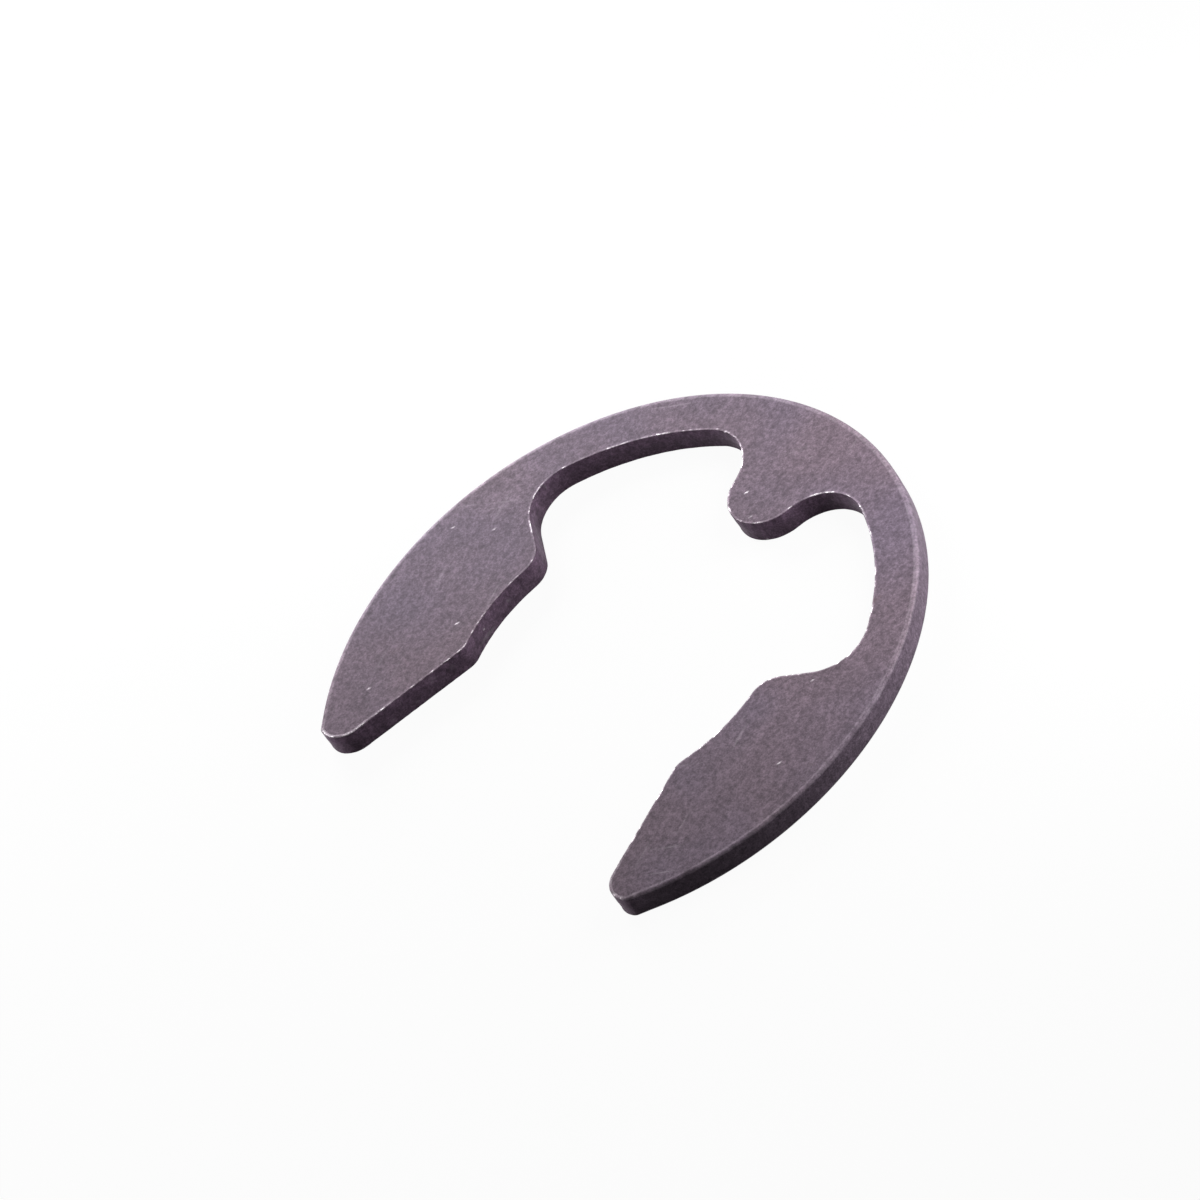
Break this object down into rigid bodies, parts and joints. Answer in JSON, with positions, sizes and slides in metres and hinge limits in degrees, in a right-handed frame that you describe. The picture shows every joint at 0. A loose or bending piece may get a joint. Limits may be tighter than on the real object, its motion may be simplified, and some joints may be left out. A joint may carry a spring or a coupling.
{
  "type": "external retaining ring",
  "caption": "Flat open retaining ring that snaps sideways into a shaft groove and holds parts in place along the shaft.",
  "frame": {"origin": "on the shaft's axis, at the ring's underside", "axes": "+Z along the shaft's axis, square to the flat faces; +Y along the mirror axis towards the closed back, so the mouth opens towards -Y"},
  "size_m": [0.033, 0.0276, 0.0014],
  "materials": {
    "phosphated_steel": "dark grey phosphate and oil, fine matt grain, bright worn edges"
  },
  "bodies": {
    "root": {"ring": "phosphated_steel"}
  },
  "joints": []
}
